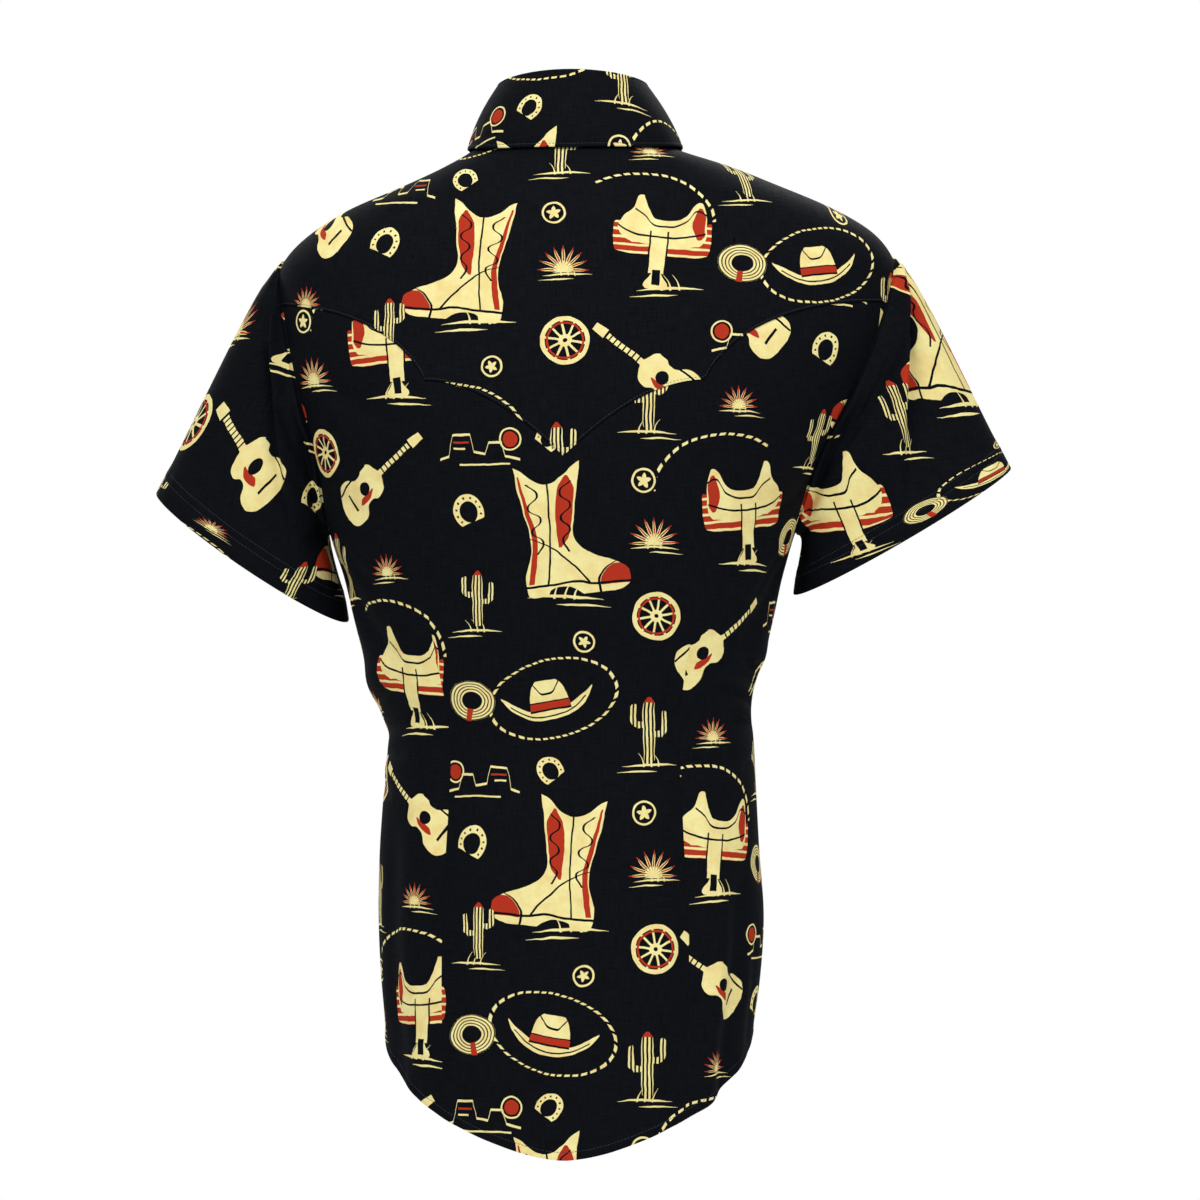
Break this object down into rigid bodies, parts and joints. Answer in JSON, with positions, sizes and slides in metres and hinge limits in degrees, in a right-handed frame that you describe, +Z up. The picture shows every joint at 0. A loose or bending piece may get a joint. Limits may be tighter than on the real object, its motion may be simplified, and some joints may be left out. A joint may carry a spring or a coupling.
{
  "type": "short-sleeved western snap shirt",
  "caption": "Short-sleeved western shirt in its worn, hollow form, with a three-point back yoke, pointed collar, snap placket, darted back and shirt-tail hem.",
  "frame": {"origin": "middle of the neck base, where the shirt hangs on the wearer's shoulders and neck", "axes": "+Z up along the wearer's height, -Y towards the wearer's front, +X towards the wearer's left"},
  "size_m": [0.6854, 0.2589, 0.8432],
  "materials": {
    "printed cotton": "near-black cotton poplin printed in cream and brick red, matt",
    "pearl snap": "pearl cap in a bright rim, glossy"
  },
  "bodies": {
    "root": {"back": "printed cotton", "back_yoke": "printed cotton", "front_left": "printed cotton", "front_right": "printed cotton", "front_yoke_left": "printed cotton", "front_yoke_right": "printed cotton", "placket": "printed cotton", "collar_stand": "printed cotton", "collar_fall": "printed cotton", "sleeve_left": "printed cotton", "sleeve_right": "printed cotton", "snap_1": "pearl snap", "snap_2": "pearl snap", "snap_3": "pearl snap", "snap_4": "pearl snap", "snap_5": "pearl snap", "snap_6": "pearl snap", "snap_7": "pearl snap"}
  },
  "joints": []
}
